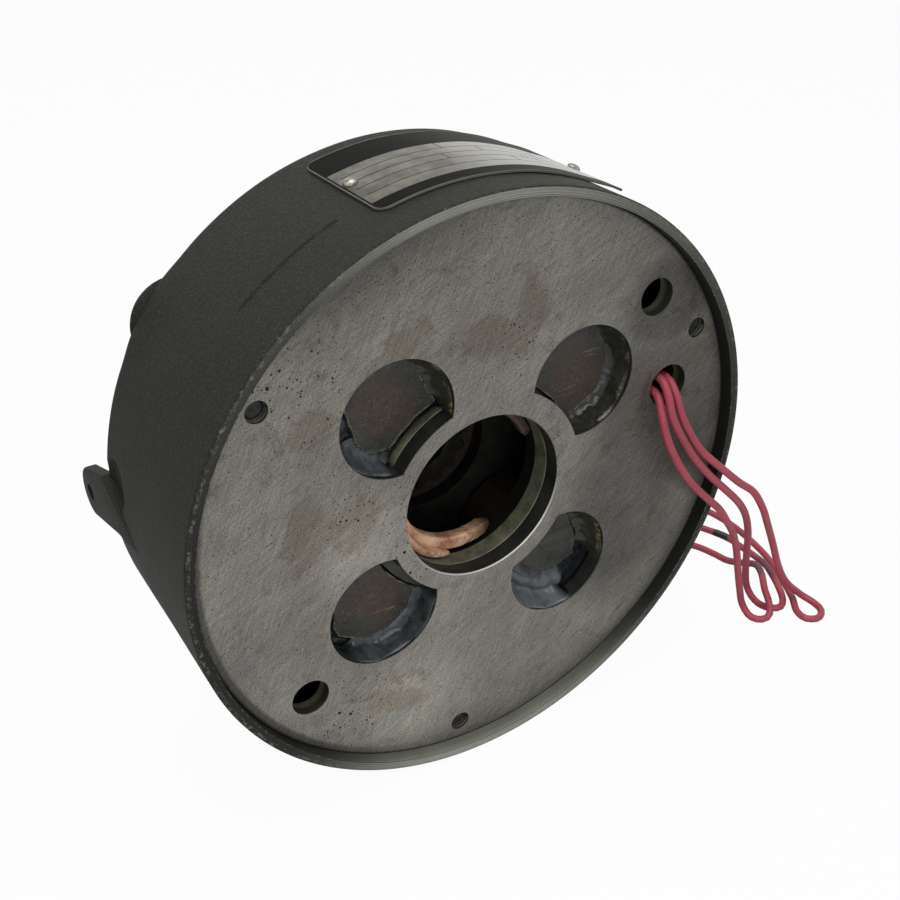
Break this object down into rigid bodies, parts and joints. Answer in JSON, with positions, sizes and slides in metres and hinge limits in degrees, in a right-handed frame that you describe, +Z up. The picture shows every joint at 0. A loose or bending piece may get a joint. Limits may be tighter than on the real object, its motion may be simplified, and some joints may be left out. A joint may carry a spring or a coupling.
{
  "type": "electromagnetic brake",
  "caption": "Round spring-applied electromagnetic disc brake in a cast cup, with a ground mounting plate, splined hub, side lug and loose leads.",
  "frame": {"origin": "centre of the mounting plate's front face, on the brake's axis", "axes": "-Y out of the mounting plate towards the motor, +Y back along the axis to the housing's closed end, +Z up through the nameplate, +X to the side that the leads leave"},
  "size_m": [0.2857, 0.1228, 0.2177],
  "materials": {
    "housing_paint": "dark grey-green textured paint, worn at the rim",
    "ground_steel": "ground and stained",
    "plated_steel": "turned, dull olive",
    "varnished_iron": "black varnished casting",
    "potting_resin": "poured dark resin",
    "varnished_tape": "brown varnished tape",
    "enamelled_copper": "enamelled copper winding",
    "blackened_steel": "black oxide",
    "machined_steel": "machined",
    "spring_steel": "drawn wire",
    "moulded_lining": "moulded friction material",
    "etched_aluminium": "satin with black etched bands",
    "bright_steel": "bright, dome headed",
    "black_rubber": "matte",
    "lead_insulation": "crimson silicone"
  },
  "bodies": {
    "brake_body": {"housing": "housing_paint", "mounting_plate": "ground_steel", "bore_collar": "plated_steel", "magnet_body": "varnished_iron", "potting": "potting_resin", "pole_core_1": "varnished_tape", "pole_core_2": "varnished_tape", "pole_core_3": "varnished_tape", "pole_core_4": "varnished_tape", "coil_1": "enamelled_copper", "coil_2": "enamelled_copper", "coil_3": "enamelled_copper", "coil_4": "enamelled_copper", "coil_tail_1": "enamelled_copper", "coil_tail_2": "enamelled_copper", "magnet_screw_1": "blackened_steel", "magnet_screw_2": "blackened_steel", "magnet_screw_3": "blackened_steel", "cap_screw_1": "blackened_steel", "cap_screw_2": "blackened_steel", "cap_screw_3": "blackened_steel", "reaction_plate": "machined_steel", "nameplate": "etched_aluminium", "drive_screw_1": "bright_steel", "drive_screw_2": "bright_steel", "lead_bush": "black_rubber", "lead_1": "lead_insulation", "lead_2": "lead_insulation", "lead_3": "lead_insulation"},
    "armature": {"armature_plate": "machined_steel", "torque_spring_1": "spring_steel", "torque_spring_2": "spring_steel", "torque_spring_3": "spring_steel", "torque_spring_4": "spring_steel", "torque_spring_5": "spring_steel", "torque_spring_6": "spring_steel"},
    "separator": {"separator_plate": "machined_steel"},
    "hub": {"splined_hub": "machined_steel"},
    "disc_1": {"friction_disc_1": "moulded_lining"},
    "disc_2": {"friction_disc_2": "moulded_lining"}
  },
  "joints": [
    {"name": "armature_slide", "type": "slide", "parent": "brake_body", "child": "armature", "axis": [0, -1, 0], "range_m": [0, 0.001]},
    {"name": "separator_slide", "type": "slide", "parent": "brake_body", "child": "separator", "axis": [0, -1, 0], "range_m": [0, 0.0006]},
    {"name": "hub_spin", "type": "hinge", "parent": "brake_body", "child": "hub", "pos_m": [0, 0, 0], "axis": [0, 1, 0], "continuous": true},
    {"name": "disc_1_slide", "type": "slide", "parent": "hub", "child": "disc_1", "axis": [0, -1, 0], "range_m": [0, 0.0008]},
    {"name": "disc_2_slide", "type": "slide", "parent": "hub", "child": "disc_2", "axis": [0, -1, 0], "range_m": [0, 0.0003]}
  ],
  "couplings": [
    {"joint": "separator_slide", "follows": "armature_slide", "ratio": 0.5},
    {"joint": "disc_1_slide", "follows": "armature_slide", "ratio": 0.75},
    {"joint": "disc_2_slide", "follows": "armature_slide", "ratio": 0.25}
  ]
}
